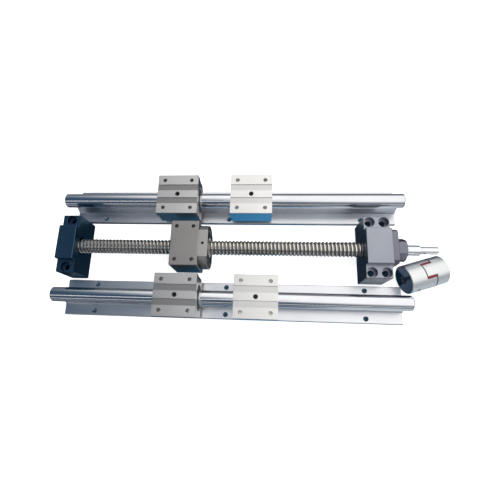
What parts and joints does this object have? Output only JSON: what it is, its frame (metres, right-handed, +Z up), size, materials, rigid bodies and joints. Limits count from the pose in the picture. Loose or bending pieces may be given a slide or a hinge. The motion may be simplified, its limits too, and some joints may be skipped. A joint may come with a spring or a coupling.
{
  "type": "ball screw assembly",
  "caption": "Kit for one linear axis: ball screw with flanged nut and end supports between supported round rails with open ball blocks, and a loose jaw coupling.",
  "frame": {"origin": "on the mounting plane, under the middle of the kit", "axes": "+X along the screw to its drive end, +Y across the axis, +Z up"},
  "size_m": [0.422, 0.156, 0.045],
  "materials": {
    "hardened_shaft": "ground and hardened, mirror-like",
    "rail_aluminium": "extruded, satin",
    "block_aluminium": "extruded and milled, satin",
    "bushing_steel": "ground",
    "retainer_plastic": "moulded acetal",
    "bearing_balls": "polished",
    "seal_rubber": "matt nitrile",
    "black_screws": "black oxide",
    "screw_steel": "rolled, bright",
    "nut_steel": "ground",
    "wiper_plastic": "moulded",
    "housing_aluminium": "milled, satin",
    "support_steel": "milled and plated",
    "free_support_steel": "milled and blackened",
    "bearing_steel": "ground",
    "cage_steel": "pressed",
    "collar_steel": "ground",
    "lock_nut_steel": "turned and plated",
    "spring_steel": "phosphated",
    "coupling_aluminium": "turned, satin",
    "spider_polyurethane": "moulded, red"
  },
  "bodies": {
    "frame": {"rear_rail_support": "rail_aluminium", "rear_rail_shaft": "hardened_shaft", "rear_rail_shaft_screws": "black_screws", "front_rail_support": "rail_aluminium", "front_rail_shaft": "hardened_shaft", "front_rail_shaft_screws": "black_screws", "drive_support_housing": "support_steel", "drive_support_retainer_cap": "lock_nut_steel", "drive_support_cap_screws": "black_screws", "drive_bearing_outer_rings": "bearing_steel", "drive_support_oil_seals": "seal_rubber", "free_support_housing": "free_support_steel", "free_bearing_outer_ring": "bearing_steel", "free_support_housing_circlip": "spring_steel"},
    "screw": {"ball_screw_shaft": "screw_steel", "drive_bearing_inner_rings": "bearing_steel", "drive_spacer_collars": "collar_steel", "lock_nut": "lock_nut_steel", "lock_nut_set_screws": "black_screws", "free_bearing_inner_ring": "bearing_steel", "free_end_shaft_circlip": "spring_steel"},
    "nut": {"ball_nut": "nut_steel", "nut_housing": "housing_aluminium", "nut_ball_returns": "wiper_plastic", "nut_balls": "bearing_balls", "nut_wipers": "wiper_plastic"},
    "rear_left_block": {"rear_left_block_housing": "block_aluminium", "rear_left_block_bushing_sleeve": "bushing_steel", "rear_left_block_ball_retainer": "retainer_plastic", "rear_left_block_balls": "bearing_balls", "rear_left_block_end_seals": "seal_rubber", "rear_left_block_set_screw": "black_screws"},
    "rear_right_block": {"rear_right_block_housing": "block_aluminium", "rear_right_block_bushing_sleeve": "bushing_steel", "rear_right_block_ball_retainer": "retainer_plastic", "rear_right_block_balls": "bearing_balls", "rear_right_block_end_seals": "seal_rubber", "rear_right_block_set_screw": "black_screws"},
    "front_left_block": {"front_left_block_housing": "block_aluminium", "front_left_block_bushing_sleeve": "bushing_steel", "front_left_block_ball_retainer": "retainer_plastic", "front_left_block_balls": "bearing_balls", "front_left_block_end_seals": "seal_rubber", "front_left_block_set_screw": "black_screws"},
    "front_right_block": {"front_right_block_housing": "block_aluminium", "front_right_block_bushing_sleeve": "bushing_steel", "front_right_block_ball_retainer": "retainer_plastic", "front_right_block_balls": "bearing_balls", "front_right_block_end_seals": "seal_rubber", "front_right_block_set_screw": "black_screws"},
    "drive_bearing_ball_sets": {"drive_bearing_balls": "bearing_balls", "drive_bearing_cages": "cage_steel"},
    "free_bearing_ball_set": {"free_bearing_balls": "bearing_balls", "free_bearing_cage": "cage_steel"},
    "coupling": {"coupling_screw_hub": "coupling_aluminium", "coupling_motor_hub": "coupling_aluminium", "coupling_spider": "spider_polyurethane", "coupling_set_screws": "black_screws"}
  },
  "joints": [
    {"name": "screw_spin", "type": "hinge", "parent": "frame", "child": "screw", "pos_m": [0, 0, 0.025], "axis": [1, 0, 0], "range_deg": [-13949, 8999]},
    {"name": "nut_travel", "type": "slide", "parent": "frame", "child": "nut", "axis": [1, 0, 0], "range_m": [-0.1, 0.155]},
    {"name": "rear_left_block_travel", "type": "slide", "parent": "frame", "child": "rear_left_block", "axis": [1, 0, 0], "range_m": [-0.1133, 0.017]},
    {"name": "rear_right_block_travel", "type": "slide", "parent": "frame", "child": "rear_right_block", "axis": [1, 0, 0], "range_m": [-0.017, 0.1408]},
    {"name": "front_left_block_travel", "type": "slide", "parent": "frame", "child": "front_left_block", "axis": [1, 0, 0], "range_m": [-0.1182, 0.018]},
    {"name": "front_right_block_travel", "type": "slide", "parent": "frame", "child": "front_right_block", "axis": [1, 0, 0], "range_m": [-0.018, 0.127]},
    {"name": "drive_ball_set_roll", "type": "hinge", "parent": "frame", "child": "drive_bearing_ball_sets", "pos_m": [0.1405, 0, 0.025], "axis": [1, 0, 0], "range_deg": [-5553, 3583]},
    {"name": "free_ball_set_roll", "type": "hinge", "parent": "frame", "child": "free_bearing_ball_set", "pos_m": [-0.192, 0, 0.025], "axis": [1, 0, 0], "range_deg": [-5154, 3326]},
    {"name": "coupling_lift_away", "type": "slide", "parent": "frame", "child": "coupling", "axis": [0.8, 0, 0.6], "range_m": [0, 0.05]}
  ],
  "couplings": [
    {"joint": "nut_travel", "follows": "screw_spin", "m_per_rad": -0.00063662},
    {"joint": "drive_ball_set_roll", "follows": "screw_spin", "ratio": 0.398},
    {"joint": "free_ball_set_roll", "follows": "screw_spin", "ratio": 0.3694}
  ]
}
